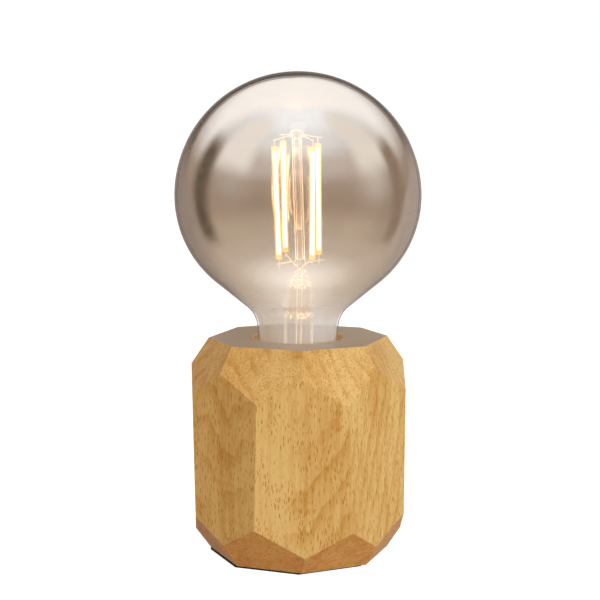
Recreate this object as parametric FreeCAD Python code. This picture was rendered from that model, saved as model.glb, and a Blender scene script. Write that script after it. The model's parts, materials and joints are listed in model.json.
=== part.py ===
import FreeCAD, Part
import math
import os

V = FreeCAD.Vector
up = V(0, 0, 1)

# Everything is in millimetres, Z up. The origin is on the bulb's axis, at the foot pad's underside.
# The lamp's front looks along -Y and the cord leaves at the back, along +Y.

# Clearances
seat_gap = 0.1          # between pieces that sit still in each other
slide_gap = 0.05        # round a piece that slides or is let through a hole
contact_gap = 0.2       # between the bulb's tip and the sprung contact
spring_gap = 0.02       # at each end of the contact's spring
past = 1.0              # how far a cut runs beyond what it cuts

# Wooden block: eight upright faces, eight upper and eight lower corner cuts
block_flat = 53.9       # from the axis to an upright face
top_flat = 42.0         # from the axis to an edge of the top face
bottom_flat = 42.6      # from the axis to an edge of the bottom face
upper_slope = 57.5      # upper cuts, degrees from level
lower_slope = 55.7      # lower cuts, degrees from level
well_room = 2.55        # between the well and the bulb's neck
well_chamfer = 0.4
web_thickness = 10.0    # wood left between the well and the wiring space
cavity_height = 35.0    # wiring space under the web, base plate included

# How far each hand-cut face strays, from the front face round to the right
face_in = [0, 0, 0, 0, 0, 0, 0, -0.5]
face_lean = [-1, 1, -0.5, 0.5, 0, -0.5, -1, 0]
face_turn = [-1, 3.5, -1.5, 1, 0, -1.5, 2.5, 2]
upper_in = [0, 0, -1, 2, -0.5, 0.5, -1, 0.5]
upper_tilt = [1, -0.5, -0.5, 0, 0.5, -0.5, -0.5, 1.5]
lower_in = [0, -0.5, -0.5, 0, 0.5, 0, 1, 0.5]
lower_tilt = [2.5, -3, 0, 1, -1, 0, 0.5, -1]

# Foot pad
pad_thickness = 1.0
pad_inset = 1.4         # from the bottom face's edge
pad_shift = -1.0        # stuck on a little to the left

# Base plate and its screws
plate_margin = 5.6      # from the plate to the bottom face's edge
plate_thickness = 2.0
plate_screw_inset = 4.5
plate_screw_radius = 1.4
plate_screw_length = 14.0
plate_screw_head = 2.8
plate_screw_count = 4
cavity_margin = 5.5     # from the screws to the wiring space

# Cord outlet at the back
outlet_height = 22.0
outlet_bore = 3.6
bush_barrel = 4.5
bush_flange = 6.5
bush_flange_thickness = 2.0
bush_length = 12.0
bush_round = 0.7

# Threaded tube through the web, with its nut and washer
tube_radius = 5.0
tube_bore = 3.6
tube_below_nut = 1.5
tube_below_lead = 0.7   # from the tube's upper end to the leads above it
nut_flats = 14.0
nut_height = 3.0
nut_chamfer = 0.4
washer_radius = 9.0
washer_thickness = 1.0

# Screw thread of the bulb and of the shell: round ridges of one size
thread_pitch = 3.629
thread_root = 12.15     # radius of the bulb's thread at its root
ridge_embed = 0.25
crest_gap = 0.2         # crest to root, both ways
flank_gap = 0.175       # flank to flank
ridge_end_gap = 0.6     # from the bulb's last ridge to the flare of its rim
shell_wall = 0.6
shell_round = 0.3
shell_floor = 0.5
shell_floor_width = 4.95
shell_lip_gap = 0.4     # from the shell's mouth to the holder's lip

# Lampholder
carrier_room = 0.75     # round the shell
carrier_wall = 1.1
carrier_floor = 9.5
carrier_cup = 3.5
carrier_flange = 2.0
spigot_wall = 2.1
spigot_height = 8.0
holder_step = 1.5       # from the spigot out to the holder's outer wall
holder_cap_height = 14.0
holder_foot = 12.0      # radius of its flat seat
holder_floor = 3.0
holder_dome = 10.0      # height of the dome
holder_shell = 2.0      # thickness at the seat's edge
dome_round = 3.0
seat_round = 2.0
inner_round = 1.0
collar_wall = 2.95      # round the tube
collar_rise = 0.5       # over the tube's upper end
skirt_wall = 3.0
skirt_below_rim = 1.1   # from the bulb's rim down to the skirt's top
skirt_round = 1.5
mouth_room = 1.7        # between the bulb's rim and the skirt's mouth
mouth_round = 0.4
lip_height = 2.0
groove_count = 24
groove_radius = 0.8
groove_depth = 0.5
groove_low = 4.0        # plain band under the grooves
groove_high = 6.0       # plain band over them

# Sprung centre contact
plunger_radius = 2.4
plunger_round = 1.2
plunger_flange = 3.1
plunger_flange_height = 1.2
plunger_out = 2.0       # how far it stands out of the carrier, and its travel
plunger_lid = 1.5       # thickness of the carrier above its flange
spring_room = 0.2       # between the flange and the spring's bore
spring_inset = 0.8      # from the flange's edge to the middle of the wire
spring_wire = 0.45
spring_turns = 3

# Terminals of the lampholder
rivet_radius = 2.9
rivet_height = 1.2
strap_thickness = 1.0
strap_width = 6.0
strap_length = 7.0
strap_inset = 1.45      # from the shell's outside to the strap's end
riser_thickness = 0.9
riser_width = 3.6
terminal_inset = 3.5    # from the strap's end to its screw
terminal_head = 2.4
terminal_head_height = 1.6
terminal_round = 0.5
terminal_slot = 0.6
terminal_shank = 1.2
terminal_shank_length = 5.0

# Terminal block in the base
block_length = 18.0
block_width = 14.4
block_depth = 12.0
block_round = 0.8
block_gap = 0.6         # from the washer
pole_spacing = 8.0
pole_drop = 6.0         # below the web
insert_radius = 1.9
insert_bore = 1.3
insert_inset = 1.0      # from the block's ends
clamp_radius = 1.2
clamp_place = 5.0
clamp_room = 0.5
clamp_sunk = 1.0
clamp_slot = 0.5
clamp_slot_depth = 0.8
fixing_radius = 1.4
fixing_left = 2.0       # wood left over the fixing screw's tip
fixing_head = 2.4
fixing_head_height = 1.6
fixing_slot = 0.7

# Inner leads: live, then neutral
lead_radius = 1.1
lead_core = 0.5
lead_core_length = 5.0
lead_bare = 1.0         # of the core left inside the jacket's end
lead_bend = 2.0
lead_spacing = 3.2
lead_room = 0.2
lead_drops = [9.0, 5.0]     # how far each hangs below the tube
lead_reaches = [13.5, 15.0]     # how far each swings out
lead_swing = 0.45       # share of the way to its pole at which it turns up

# Bulb: cap
cap_length = 26.8
cap_wall = 0.5
cap_rim_step = 1.05     # from the thread's root out to the rim
cap_rim_height = 4.0
cap_flare = 1.0         # height of the flare under the rim
cap_foot_step = 2.55    # from the thread's root in to the cap's foot
cap_foot_height = 3.6
cap_round = 0.8
cap_rim_round = 0.5
cap_inner_round = 0.4
insulator_height = 8.5
insulator_step = 0.3    # from the contact's edge to the insulator's foot
insulator_bore = 0.9
insulator_in_cap = 1.0
insulator_round = 0.5
insulator_foot_round = 0.3
contact_height = 0.8
contact_radius = 4.2
contact_crown = 1.9     # radius of the flat at its tip
contact_crown_round = 1.0
contact_rim = 0.2

# Bulb: glass, from the cap's rim up
throat_gap = 0.3        # between the glass and the cap's rim
throat_bend = 1.0
shoulder_angle = 60.0
shoulder_radius = 6.0
neck_lift = 7.5         # from the cap's rim to the neck's lower end
neck_step = 8.3         # from the throat out to the neck
neck_length = 14.4
neck_taper = 4.0
neck_show = 5.1         # how much of the neck stands out of the wood
flare_radius = 15.5
cone_angle = 50.7       # where the globe's lower half runs into the cone
lower_radius = 56.1     # the globe's lower half is rounder
globe_radius = 62.5
glass_wall = 1.0

# Glass stem, from the glass's foot up
stem_wall = 0.8
stem_room = 0.4         # between its flared foot and the throat
stem_foot_height = 1.5
stem_flare_height = 8.0
stem_base_radius = 7.4
stem_base_height = 30.0
stem_step_height = 3.0
stem_tube_radius = 6.2
stem_tube_height = 13.0
stem_inner_rise = 2.0   # how far its inside rises or falls from the tube's upper shoulder
stem_pinch_height = 7.5
stem_neck_radius = 2.3
stem_neck_height = 6.3
stem_foot_round = 0.8
stem_flare_round = 4.0
stem_step_round = 1.5
stem_pinch_round = 2.5
stem_lean = 1.1         # the whole stem leans to the right
post_radius = 2.4
post_over = 3.5         # how much longer than a filament it is
post_lean = -1.7        # and the post leans back to the left
bead_radius = 3.9
bead_height = 5.0
bead_foot = 2.9         # radius of its lower and upper faces
bead_head = 2.7
bead_round = 0.8
bead_side_round = 1.5

# Filaments: the foot of each, from the bulb's axis and the stem's top
filament_radius = 1.15
filament_length = 57.0
filament_round = 0.5
filament_feet = [V(-9.7, -5.7, 0.3), V(-6.3, 6.2, 2.7), V(7.0, -6.2, 0.1), V(10.9, 5.7, 1.4)]
filament_leans = [-2.3, -1.1, 0.3, -0.6]      # sideways at the head
clip_radius = 0.35
clip_foot_lengths = [4.6, 2.6, 2.2, 5.0]
clip_head_length = 2.6

# Wires of the filaments
wire_radius = 0.35
wire_bend = 1.0
wire_room = 0.15        # round a wire in the glass
wire_past = 2.2         # how far the back wires run past their filaments
wire_start = V(1.4, 1.2, 0)     # inside the bead, from its middle
lead_in_spread = 1.2
lead_in_bend = 4.0      # below the stem's top, where they turn outwards
lead_in_out = V(3.2, 0, 2.4)    # from that bend to their fork
lead_in_past = [0.8, 0.8, 0.8, 2.8]     # how far each runs past its filament's clip
weld_radius = 0.45      # bead of weld at the fork
weld_share = 0.45       # of the clip's length, where the wire crosses it

# Supply in the cap
board_width = 14.0
board_thickness = 1.2
board_height = 11.0
board_lift = 1.2
board_chamfer = 1.0
part_lift = 1.0
capacitor_radius = 3.0
capacitor_height = 9.0
capacitor_place = -2.5
capacitor_round = 0.5
choke_radius = 2.3
choke_height = 6.0
choke_lift = 2.0
choke_place = 3.2
choke_round = 0.4
bridge_size = V(4.0, 2.0, 4.0)
bridge_lift = 3.0
bridge_place = -3.0
driver_wire = 0.4
driver_wire_height = 4.0
solder_gap = 0.02

# Radii that follow, from the bulb's thread outwards. The ridge is the largest round one that
# leaves crest_gap and flank_gap between the two threads, half a pitch apart.
flank = 4 * flank_gap - 2 * crest_gap
slack = (thread_pitch / 2) ** 2 + crest_gap ** 2 - flank_gap ** 2
ridge_radius = (math.sqrt(flank ** 2 + 12 * slack) - flank) / 6
shell_root = thread_root + ridge_radius + crest_gap
shell_outer = shell_root + shell_wall
cup_radius = shell_outer + carrier_room
carrier_radius = cup_radius + carrier_wall
spigot_bore = carrier_radius + seat_gap
spigot_radius = spigot_bore + spigot_wall
holder_radius = spigot_radius + holder_step
strap_reach = shell_outer - strap_inset
terminal_place = strap_reach - terminal_inset
cap_rim_radius = thread_root + cap_rim_step
cap_foot_radius = thread_root - cap_foot_step
throat_radius = cap_rim_radius - cap_wall - throat_gap
neck_radius = throat_radius + neck_step
well_radius = max(neck_radius, holder_radius) + well_room
plate_radius = bottom_flat - plate_margin
plate_screw_ring = plate_radius - plate_screw_inset
cavity_radius = plate_screw_ring - cavity_margin

# The globe's cone, between its round lower half and the flare of the neck
cone = math.radians(cone_angle)
taper = math.radians(neck_taper)
cone_radius = globe_radius - lower_radius * (1 - math.cos(cone))
flare_bow = flare_radius * (math.cos(taper) - math.cos(cone))
cone_run = (cone_radius - neck_radius - flare_bow) / math.sin(cone)
cone_drop = lower_radius * math.sin(cone) + cone_run * math.cos(cone)
neck_drop = cone_drop + flare_radius * (math.sin(cone) - math.sin(taper))

# Heights that follow, from the floor up
wood_z = pad_thickness
plate_z = wood_z + plate_thickness
web_z = wood_z + cavity_height
well_z = web_z + web_thickness
shoulder_z = well_z + holder_cap_height
flange_z = shoulder_z + spigot_height
carrier_rim_z = flange_z + carrier_flange
carrier_top = carrier_rim_z - carrier_cup
carrier_z = carrier_top - carrier_floor
strap_z = carrier_z - strap_thickness
lead_z = strap_z - lead_radius - seat_gap
tube_top = lead_z - lead_radius - tube_below_lead
collar_z = tube_top + collar_rise
nut_top = web_z - washer_thickness
nut_bottom = nut_top - nut_height
tube_bottom = nut_bottom - tube_below_nut
pole_z = web_z - pole_drop
block_z = web_z - block_depth
plunger_stop = carrier_top - plunger_lid
plunger_top = carrier_top + plunger_out
tip_z = plunger_top + contact_gap
insulator_z = tip_z + contact_height
thread_z = tip_z + insulator_height
board_z = thread_z + board_lift
rim_z = tip_z + cap_length
rim_low = rim_z - cap_rim_height
glass_z = rim_low + cap_flare + seat_gap
skirt_top = rim_z - skirt_below_rim
shell_top = skirt_top - lip_height - shell_lip_gap
neck_z = rim_z + neck_lift
neck_top_z = neck_z + neck_length * math.cos(taper)
top_z = neck_top_z - neck_show
globe_z = neck_top_z + neck_drop
stem_step_z = glass_z + stem_base_height
stem_tube_z = stem_step_z + stem_step_height + stem_tube_height
stem_neck_z = stem_tube_z + stem_pinch_height
stem_top_z = stem_neck_z + stem_neck_height

# The bulb's ridge, and the shell's, which starts as many turns and a half below it as fit
ridge_start = thread_z + ridge_radius + seat_gap
ridge_turns = (rim_low - ridge_end_gap - ridge_radius - ridge_start) / thread_pitch
shell_ridge_low = carrier_top + shell_floor + ridge_radius + seat_gap
turns_below = math.floor((ridge_start - shell_ridge_low) / thread_pitch - 0.5) + 0.5
shell_ridge_start = ridge_start - turns_below * thread_pitch
shell_ridge_turns = (shell_top - ridge_radius - seat_gap - shell_ridge_start) / thread_pitch

# Places that follow
block_place = -(washer_radius + block_gap + block_width / 2)
pole_y = [block_place - pole_spacing / 2, block_place + pole_spacing / 2]
insert_reach = block_length / 2 - insert_inset
plate_screw_angles = [360 / plate_screw_count * (i + 0.5) for i in range(plate_screw_count)]
clamp_spots = [(side * clamp_place, y) for y in pole_y for side in (-1, 1)]


def around(degrees, distance, z=0.0):
    a = math.radians(degrees)
    return V(distance * math.cos(a), distance * math.sin(a), z)


def rod(radius, start, end):
    along = end - start
    return Part.makeCylinder(radius, along.Length, start, along)


def post(radius, z0, z1, x=0.0, y=0.0):
    return rod(radius, V(x, y, z0), V(x, y, z1))


def ring(outer, inner, z0, z1):
    return post(outer, z0, z1).cut(post(inner, z0 - past, z1 + past))


def bar(width, depth, z0, z1, x=0.0, y=0.0):
    """Upright box round the line through x, y."""
    return Part.makeBox(width, depth, z1 - z0, V(x - width / 2, y - depth / 2, z0))


def rim_at(shape, axis, place):
    """Edges that lie flat at one place along X, Y or Z."""
    ends = [("XMin", "XMax"), ("YMin", "YMax"), ("ZMin", "ZMax")][axis]
    return [e for e in shape.Edges if all(abs(getattr(e.BoundBox, end) - place) < 1e-6 for end in ends)]


def arc(start, middle, end):
    return Part.Arc(start, middle, end).toShape()


def corner(before, point, after, radius):
    """Start, middle and end of the arc that rounds one corner."""
    back = (before - point).normalize()
    on = (after - point).normalize()
    half = back.getAngle(on) / 2
    trim = radius / math.tan(half)
    centre = point + (back + on).normalize() * (radius / math.sin(half))
    middle = centre + (point - centre).normalize() * radius
    return point + back * trim, middle, point + on * trim


def section(points):
    """Closed profile of (radius, height, rounding) corners in the XZ plane."""
    spots = [V(p[0], 0, p[1]) for p in points]
    edges = []
    ends = []
    for i, p in enumerate(points):
        if len(p) < 3:
            ends.append((spots[i], spots[i]))
            continue
        a, m, b = corner(spots[i - 1], spots[i], spots[(i + 1) % len(spots)], p[2])
        edges.append(arc(a, m, b))
        ends.append((a, b))
    for i in range(len(ends)):
        a = ends[i - 1][1]
        b = ends[i][0]
        if a.distanceToPoint(b) > 1e-6:
            edges.append(Part.makeLine(a, b))
    return Part.Wire(Part.sortEdges(edges)[0])


def turned(points):
    return Part.Face(section(points)).revolve(V(0, 0, 0), up, 360)


def route(points, bend):
    """Straight runs joined by tangent arcs."""
    edges = []
    last = points[0]
    for i in range(1, len(points) - 1):
        a, m, b = corner(points[i - 1], points[i], points[i + 1], bend)
        edges.append(Part.makeLine(last, a))
        edges.append(arc(a, m, b))
        last = b
    edges.append(Part.makeLine(last, points[-1]))
    return Part.Wire(edges)


def pipe(points, radius, bend):
    start = Part.Wire(Part.makeCircle(radius, points[0], points[1] - points[0]))
    return route(points, bend).makePipeShell([start], True, False)


def arc_from(start, heading, end):
    """Start, middle and end of the arc that leaves start along heading."""
    chord = end - start
    side = (chord - heading * chord.dot(heading)).normalize()
    radius = chord.dot(chord) / (2 * chord.dot(side))
    centre = start + side * radius
    middle = centre + ((start - centre) + (end - centre)).normalize() * radius
    return start, middle, end


def coil(mean, wire, z0, z1, turns, steps=4):
    """Round-wire coil on pairs of arcs, each pair a quarter turn long."""
    rise = (z1 - z0 - wire) / turns
    spots = []
    heads = []
    for i in range(turns * steps + 1):
        a = 2 * math.pi * i / steps
        spots.append(V(mean * math.cos(a), mean * math.sin(a), z0 + wire / 2 + rise * i / steps))
        heads.append(V(-mean * math.sin(a), mean * math.cos(a), rise / (2 * math.pi)).normalize())
    edges = []
    for i in range(len(spots) - 1):
        p, q, s, t = spots[i], spots[i + 1], heads[i], heads[i + 1]
        v = q - p
        k = 2 * (1 - s.dot(t))
        b = v.dot(s + t)
        d = (-b + math.sqrt(b * b + k * v.dot(v))) / k
        joint = (p + s * d + q - t * d) * 0.5
        edges.append(arc(*arc_from(p, s, joint)))
        edges.append(arc(*reversed(arc_from(q, t * -1, joint))))
    start = Part.Wire(Part.makeCircle(wire / 2, spots[0], heads[0]))
    print("spring gap between turns: %.2f mm" % (rise - wire))
    return Part.Wire(edges).makePipeShell([start], True, False)


def thread_ridge(root, outward, start_z, turns):
    """One rounded helical ridge on the wall at radius root, its back a little inside the wall."""
    back = root - outward * ridge_embed
    crest = root + outward * ridge_radius
    rise = outward * math.sqrt(ridge_radius ** 2 - ridge_embed ** 2)
    low = V(back, 0, -rise)
    high = V(back, 0, rise)
    profile = Part.Wire([arc(high, V(crest, 0, 0), low), Part.makeLine(low, high)])
    helix = Part.makeHelix(thread_pitch, thread_pitch * turns, root)
    ridge = Part.Wire(helix.Edges).makePipeShell([profile], True, True)
    ridge.translate(V(0, 0, start_z))
    return ridge


def cut_plane(solid, point, direction, elevation):
    """Remove what lies beyond the plane through point that faces that way."""
    size = 4 * (top_z + block_flat)
    level = math.cos(math.radians(elevation))
    normal = around(direction, level, math.sin(math.radians(elevation)))
    tool = Part.makeBox(size, size, size, V(-size / 2, -size / 2, 0))
    tool.Placement = FreeCAD.Placement(point, FreeCAD.Rotation(up, normal))
    return solid.cut(tool)


def faceted_block():
    wide = 4 * block_flat
    block = bar(wide, wide, wood_z, top_z)
    middle = (wood_z + top_z) / 2
    for i in range(8):
        face = -90 + 45 * i
        edge = face + 22.5
        turn = face + face_turn[i]
        block = cut_plane(block, around(turn, block_flat - face_in[i], middle), turn, face_lean[i])
        block = cut_plane(block, around(edge, top_flat - upper_in[i], top_z),
                          edge, 90 - upper_slope + upper_tilt[i])
        block = cut_plane(block, around(edge, bottom_flat - lower_in[i], wood_z),
                          edge, lower_slope - 90 - lower_tilt[i])
    return block


def wooden_block():
    block = faceted_block()
    block = block.cut(post(well_radius, well_z, top_z + past))
    mouth = well_radius + well_chamfer
    block = block.cut(Part.makeCone(well_radius, mouth, well_chamfer, V(0, 0, top_z - well_chamfer)))
    block = block.cut(post(cavity_radius, wood_z - past, web_z))
    block = block.cut(post(plate_radius + seat_gap, wood_z - past, plate_z))
    block = block.cut(post(tube_radius + 2 * seat_gap, web_z - past, well_z + past))
    for angle in plate_screw_angles:
        hole = around(angle, plate_screw_ring)
        block = block.cut(post(plate_screw_radius + slide_gap, wood_z,
                               wood_z + plate_screw_length + seat_gap, hole.x, hole.y))
    block = block.cut(post(fixing_radius + slide_gap, web_z - past,
                           well_z - fixing_left + seat_gap, 0, block_place))
    return block.cut(rod(bush_barrel + seat_gap, V(0, 0, outlet_height),
                         V(0, block_flat + past, outlet_height)))


def foot_pad():
    reach = (bottom_flat - pad_inset) / math.cos(math.radians(22.5))
    corners = [around(45 * i, reach) + V(pad_shift, 0, 0) for i in range(8)]
    return Part.Face(Part.makePolygon(corners + corners[:1])).extrude(up * pad_thickness)


def plate_screw(angle, gap):
    spot = around(angle, plate_screw_ring)
    head = plate_screw_head - plate_screw_radius
    shank = post(plate_screw_radius + gap, wood_z, wood_z + plate_screw_length, spot.x, spot.y)
    cone_head = Part.makeCone(plate_screw_head + gap, plate_screw_radius + gap, head,
                              V(spot.x, spot.y, wood_z))
    return shank.fuse(cone_head).removeSplitter()


def base_plate():
    plate = post(plate_radius, wood_z, plate_z)
    for angle in plate_screw_angles:
        plate = plate.cut(plate_screw(angle, slide_gap))
    return plate


def base_plate_screws():
    return Part.Compound([plate_screw(angle, 0) for angle in plate_screw_angles])


def cord_bush():
    inside = block_flat - bush_length
    out = block_flat + bush_flange_thickness
    barrel = rod(bush_barrel, V(0, inside, outlet_height), V(0, block_flat, outlet_height))
    flange = rod(bush_flange, V(0, block_flat, outlet_height), V(0, out, outlet_height))
    flange = flange.makeFillet(bush_round, rim_at(flange, 1, out))
    bore = rod(outlet_bore, V(0, inside - past, outlet_height), V(0, out + past, outlet_height))
    return barrel.fuse(flange).cut(bore).removeSplitter()


def threaded_tube():
    return ring(tube_radius, tube_bore, tube_bottom, tube_top)


def tube_washer():
    return ring(washer_radius, tube_radius + seat_gap, nut_top, web_z)


def tube_nut():
    across = nut_flats / 2 / math.cos(math.radians(30))
    corners = [around(60 * i, across, nut_bottom) for i in range(7)]
    nut = Part.Face(Part.makePolygon(corners)).extrude(up * nut_height)
    chamfer = ring(2 * across, nut_flats / 2, nut_bottom - past, nut_bottom + nut_chamfer)
    return nut.cut(chamfer).cut(post(tube_radius + slide_gap, nut_bottom - past, nut_top + past))


def holder_cap():
    bore = tube_radius + slide_gap
    dome_z = well_z + holder_dome
    floor_z = well_z + holder_floor
    collar = bore + collar_wall
    return turned([
        (bore, well_z), (holder_foot, well_z, seat_round), (holder_radius, dome_z, dome_round),
        (holder_radius, shoulder_z), (spigot_radius, shoulder_z), (spigot_radius, flange_z),
        (spigot_bore, flange_z), (spigot_bore, dome_z, seat_round),
        (holder_foot - holder_shell, floor_z, inner_round), (collar, floor_z),
        (collar, collar_z), (bore, collar_z)])


def holder_skirt():
    low = shoulder_z + seat_gap
    inner = spigot_radius + seat_gap
    bore = holder_radius - skirt_wall
    mouth = cap_rim_radius + mouth_room
    ledge = carrier_rim_z + seat_gap
    skirt = turned([
        (inner, low), (holder_radius, low), (holder_radius, skirt_top, skirt_round),
        (mouth, skirt_top, mouth_round), (mouth, skirt_top - lip_height),
        (bore, skirt_top - lip_height), (bore, ledge), (inner, ledge)])
    for i in range(groove_count):
        groove = around(360 / groove_count * i, holder_radius + groove_radius - groove_depth)
        skirt = skirt.cut(post(groove_radius, low + groove_low, skirt_top - groove_high,
                               groove.x, groove.y))
    return skirt


def contact_carrier():
    flange = spigot_radius - seat_gap
    body = turned([
        (0, carrier_z), (carrier_radius, carrier_z), (carrier_radius, flange_z),
        (flange, flange_z), (flange, carrier_rim_z), (cup_radius, carrier_rim_z),
        (cup_radius, carrier_top), (0, carrier_top)])
    rivet_top = carrier_z + rivet_height
    body = body.cut(post(rivet_radius + slide_gap, carrier_z - past, rivet_top))
    body = body.cut(post(plunger_flange + spring_room, rivet_top, plunger_stop))
    body = body.cut(post(plunger_radius + slide_gap, plunger_stop - past, carrier_top + past))
    for side in (-1, 1):
        body = body.cut(post(terminal_shank + slide_gap, carrier_z - past,
                             carrier_z + terminal_shank_length + seat_gap, side * terminal_place))
    return body.cut(riser(seat_gap))


def riser(gap):
    """Upright tongue that carries the current through the carrier to the shell."""
    x = strap_reach - riser_thickness / 2
    return bar(riser_thickness + 2 * gap, riser_width + 2 * gap, strap_z - gap, carrier_top + gap, x)


def strap_plate(near, far):
    plate = bar(far - near, strap_width, strap_z, carrier_z, (near + far) / 2)
    hole = math.copysign(terminal_place, near + far)
    return plate.cut(post(terminal_shank + slide_gap, strap_z - past, carrier_z + past, hole))


def shell_strap():
    return strap_plate(strap_reach - strap_length, strap_reach).fuse(riser(0)).removeSplitter()


def centre_strap():
    plate = strap_plate(-strap_reach, rivet_radius)
    return plate.fuse(post(rivet_radius, carrier_z - strap_thickness / 2, carrier_z + rivet_height))


def terminal_screws():
    low = strap_z - terminal_head_height
    screws = []
    for side in (-1, 1):
        x = side * terminal_place
        head = post(terminal_head, low, strap_z, x)
        head = head.makeFillet(terminal_round, rim_at(head, 2, low))
        head = head.cut(bar(terminal_slot, 3 * terminal_head, low - past, low + terminal_slot, x))
        shank = post(terminal_shank, strap_z, carrier_z + terminal_shank_length, x)
        screws.append(head.fuse(shank).removeSplitter())
    return Part.Compound(screws)


def screw_shell():
    inner = shell_outer - shell_floor_width
    shell = turned([
        (inner, carrier_top), (shell_outer, carrier_top, shell_round), (shell_outer, shell_top),
        (shell_root, shell_top), (shell_root, carrier_top + shell_floor),
        (inner, carrier_top + shell_floor)])
    ridge = thread_ridge(shell_root, -1, shell_ridge_start, shell_ridge_turns)
    return shell.fuse(ridge).removeSplitter()


def contact_plunger():
    low = plunger_stop - plunger_flange_height
    high = plunger_stop - seat_gap
    return turned([
        (0, low), (plunger_flange, low), (plunger_flange, high), (plunger_radius, high),
        (plunger_radius, plunger_top, plunger_round), (0, plunger_top)])


def contact_spring():
    low = carrier_z + rivet_height + spring_gap
    high = plunger_stop - plunger_flange_height - spring_gap
    return coil(plunger_flange - spring_inset, spring_wire, low, high, spring_turns)


def terminal_block():
    block = bar(block_length, block_width, block_z, web_z, 0, block_place)
    upright = [e for e in block.Edges if abs(e.BoundBox.ZLength - block_depth) < 1e-6]
    block = block.makeFillet(block_round, upright)
    for y in pole_y:
        block = block.cut(rod(insert_radius + seat_gap, V(-insert_reach, y, pole_z),
                              V(insert_reach, y, pole_z)))
        block = block.cut(rod(lead_radius + lead_room, V(-block_length, y, pole_z),
                              V(block_length, y, pole_z)))
    for x, y in clamp_spots:
        block = block.cut(post(clamp_radius + clamp_room, block_z - past, pole_z, x, y))
    block = block.cut(post(fixing_radius + slide_gap, block_z - past, web_z + past, 0, block_place))
    return block.cut(post(fixing_head + seat_gap, block_z - past, block_z + fixing_head_height,
                          0, block_place))


def terminal_inserts():
    tubes = []
    for y in pole_y:
        tube = rod(insert_radius, V(-insert_reach, y, pole_z), V(insert_reach, y, pole_z))
        tube = tube.cut(rod(insert_bore, V(-block_length, y, pole_z), V(block_length, y, pole_z)))
        for side in (-1, 1):
            tube = tube.cut(post(clamp_radius + slide_gap, block_z, pole_z, side * clamp_place, y))
        tubes.append(tube)
    return Part.Compound(tubes)


def clamp_screws():
    low = block_z + clamp_sunk
    screws = []
    for x, y in clamp_spots:
        screw = post(clamp_radius, low, pole_z - lead_core - seat_gap, x, y)
        slot = bar(clamp_slot, 3 * clamp_radius, low - past, low + clamp_slot_depth, x, y)
        screws.append(screw.cut(slot))
    return Part.Compound(screws)


def block_screw():
    high = block_z + fixing_head_height
    head = post(fixing_head, block_z, high, 0, block_place)
    slot = bar(3 * fixing_head, fixing_slot, block_z - past, block_z + fixing_slot, 0, block_place)
    shank = post(fixing_radius, high, well_z - fixing_left, 0, block_place)
    return head.cut(slot).fuse(shank).removeSplitter()


def lead(number, side):
    """Inner lead from a terminal of the lampholder to a pole of the terminal block."""
    x = side * lead_spacing / 2
    y = pole_y[number]
    begin = side * (terminal_place - terminal_head - seat_gap)
    low = tube_bottom - lead_drops[number]
    out = lead_reaches[number]
    face = block_length / 2 + seat_gap
    points = [V(begin, 0, lead_z), V(x, 0, lead_z), V(x, 0, low), V(out, y * lead_swing, low),
              V(out, y, pole_z), V(face, y, pole_z)]
    core = rod(lead_core, V(face + lead_bare, y, pole_z), V(face - lead_core_length, y, pole_z))
    return pipe(points, lead_radius, lead_bend).fuse(core).removeSplitter()


def facing(degrees):
    """Outward normal of the glass where it heads that many degrees inwards."""
    return V(math.cos(math.radians(degrees)), 0, -math.sin(math.radians(degrees)))


def heading(degrees):
    return V(-math.sin(math.radians(degrees)), 0, -math.cos(math.radians(degrees)))


def glass_arcs():
    """Centre, radius, side and angles of each round stretch of the globe's outline."""
    middle = V(0, 0, globe_z)
    low_middle = middle + facing(0) * (globe_radius - lower_radius)
    cone_end = low_middle + facing(cone_angle) * lower_radius + heading(cone_angle) * cone_run
    flare_middle = cone_end + facing(cone_angle) * flare_radius
    neck_end = flare_middle - facing(neck_taper) * flare_radius + heading(neck_taper) * neck_length
    round_middle = neck_end - facing(neck_taper) * shoulder_radius
    slant_top = round_middle + facing(shoulder_angle) * shoulder_radius
    slant = math.radians(shoulder_angle)
    throat_bow = throat_bend * (1 - math.cos(slant))
    slant_run = (slant_top.x - throat_radius - throat_bow) / math.sin(slant)
    slant_end = slant_top + heading(shoulder_angle) * slant_run
    throat_middle = slant_end + facing(shoulder_angle) * throat_bend
    return [(middle, globe_radius, 1, -90, 0),
            (low_middle, lower_radius, 1, 0, cone_angle),
            (flare_middle, flare_radius, -1, cone_angle, neck_taper),
            (round_middle, shoulder_radius, 1, neck_taper, shoulder_angle),
            (throat_middle, throat_bend, -1, shoulder_angle, 0)]


def glass_outline(inset):
    edges = []
    last = None
    for centre, radius, side, t0, t1 in glass_arcs():
        from_centre = side * radius - inset
        a, m, b = [centre + facing(t) * from_centre for t in (t0, (t0 + t1) / 2, t1)]
        if last and last.distanceToPoint(a) > 1e-6:
            edges.append(Part.makeLine(last, a))
        edges.append(arc(a, m, b))
        last = b
    foot = V(last.x, 0, glass_z)
    edges.append(Part.makeLine(last, foot))
    return edges, foot


def bulb_globe():
    outer, outer_foot = glass_outline(0)
    inner, inner_foot = glass_outline(glass_wall)
    crown = globe_z + globe_radius
    edges = outer + inner
    edges.append(Part.makeLine(outer_foot, inner_foot))
    edges.append(Part.makeLine(V(0, 0, crown), V(0, 0, crown - glass_wall)))
    return Part.Face(Part.Wire(Part.sortEdges(edges)[0])).revolve(V(0, 0, 0), up, 360)


def stem_leant(shape):
    shape.rotate(V(0, 0, glass_z), V(0, 1, 0), stem_lean)
    return shape


def lead_in_path(side):
    """From the supply's board up through the stem, out of its pinch."""
    x = side * lead_in_spread
    bend = V(x, 0, stem_top_z - lead_in_bend)
    fork = bend + V(side * lead_in_out.x, 0, lead_in_out.z)
    return [V(x, 0, board_z + board_height + seat_gap), bend, fork]


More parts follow.
